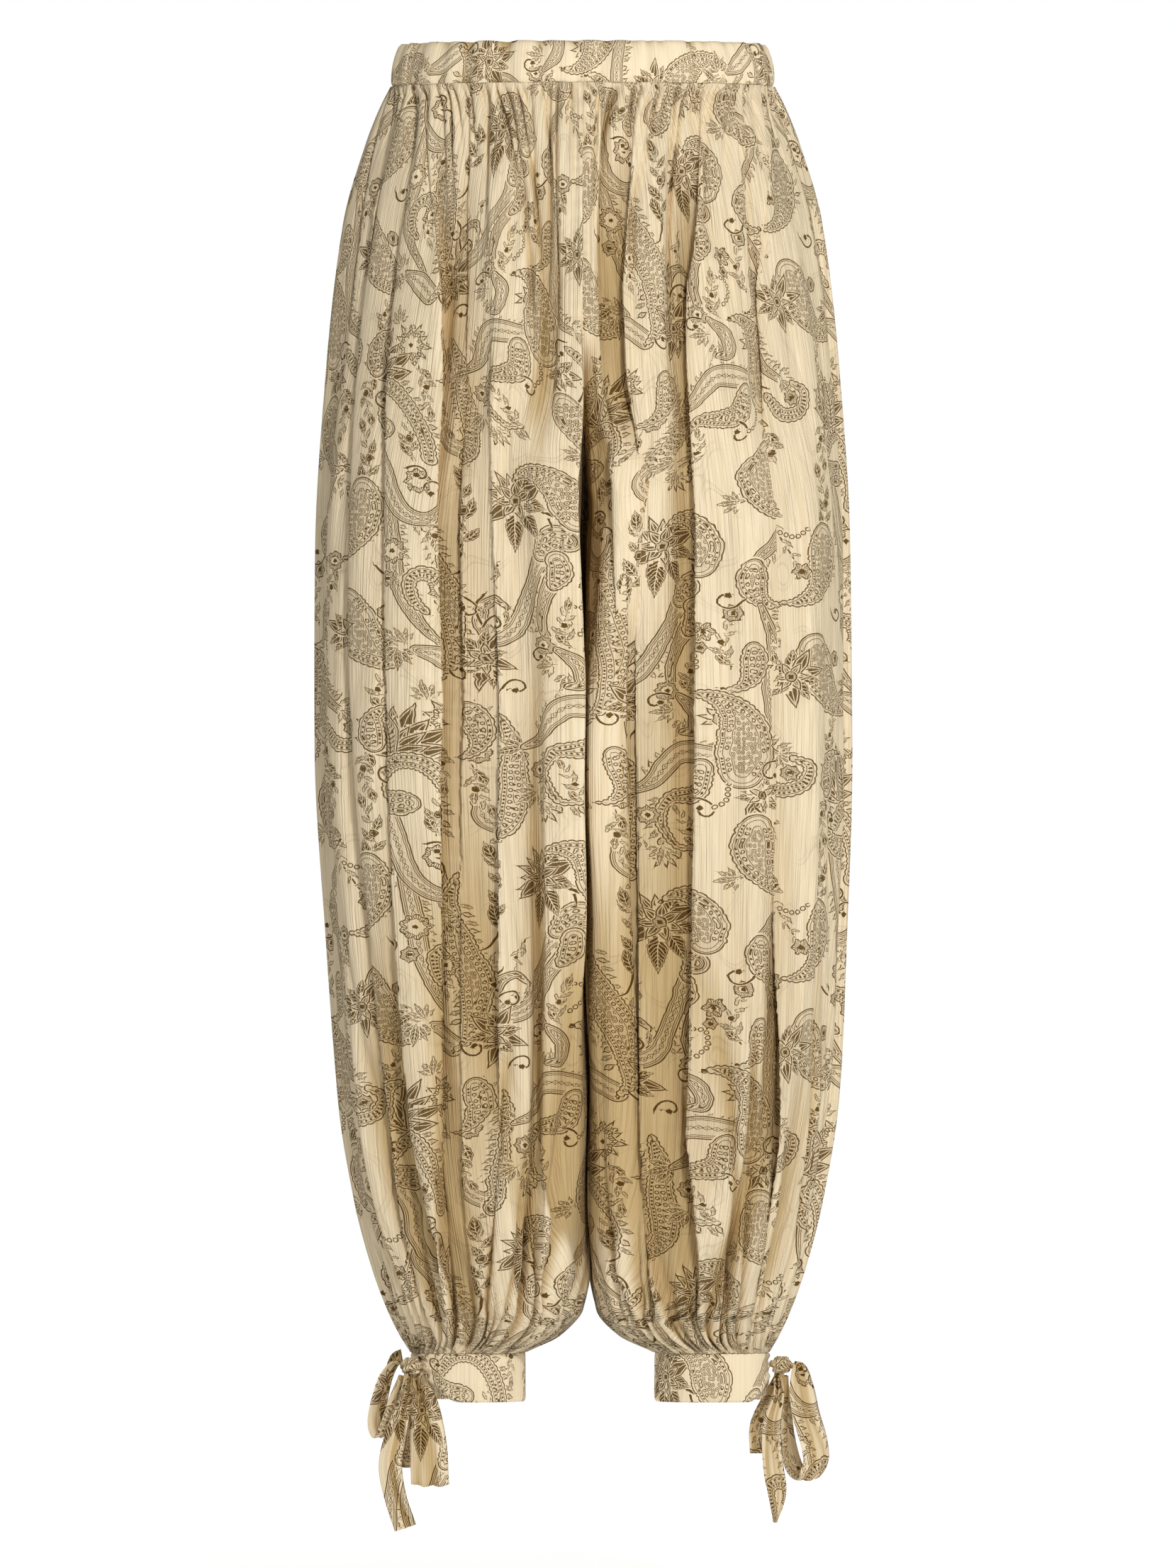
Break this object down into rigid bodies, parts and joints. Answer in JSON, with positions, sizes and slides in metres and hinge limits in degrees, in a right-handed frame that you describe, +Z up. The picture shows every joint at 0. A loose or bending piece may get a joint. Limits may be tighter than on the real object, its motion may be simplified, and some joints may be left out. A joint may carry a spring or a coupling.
{
  "type": "harem pants",
  "caption": "Full-length gathered harem pants with an elastic waistband, wide blousing legs, narrow ankle cuffs and a tie bow at each ankle.",
  "frame": {"origin": "centre of the waist opening, at mid height of the waistband", "axes": "+Z up, -Y the front of the garment, +X the wearer's left"},
  "size_m": [0.411, 0.2672, 1.1339],
  "materials": {
    "chiffon": "matte crinkled chiffon with a taupe paisley print",
    "band": "matte chiffon, doubled",
    "tie": "matte chiffon, folded into a strip"
  },
  "bodies": {
    "root": {"waistband": "band", "front_left_leg": "chiffon", "front_right_leg": "chiffon", "back_left_leg": "chiffon", "back_right_leg": "chiffon", "cuff_left": "band", "cuff_right": "band", "tie_left_knot": "tie", "tie_left_outer_loop": "tie", "tie_left_long_end": "tie", "tie_left_short_end": "tie", "tie_right_knot": "tie", "tie_right_outer_loop": "tie", "tie_right_inner_loop": "tie", "tie_right_long_end": "tie", "tie_right_short_end": "tie"}
  },
  "joints": []
}
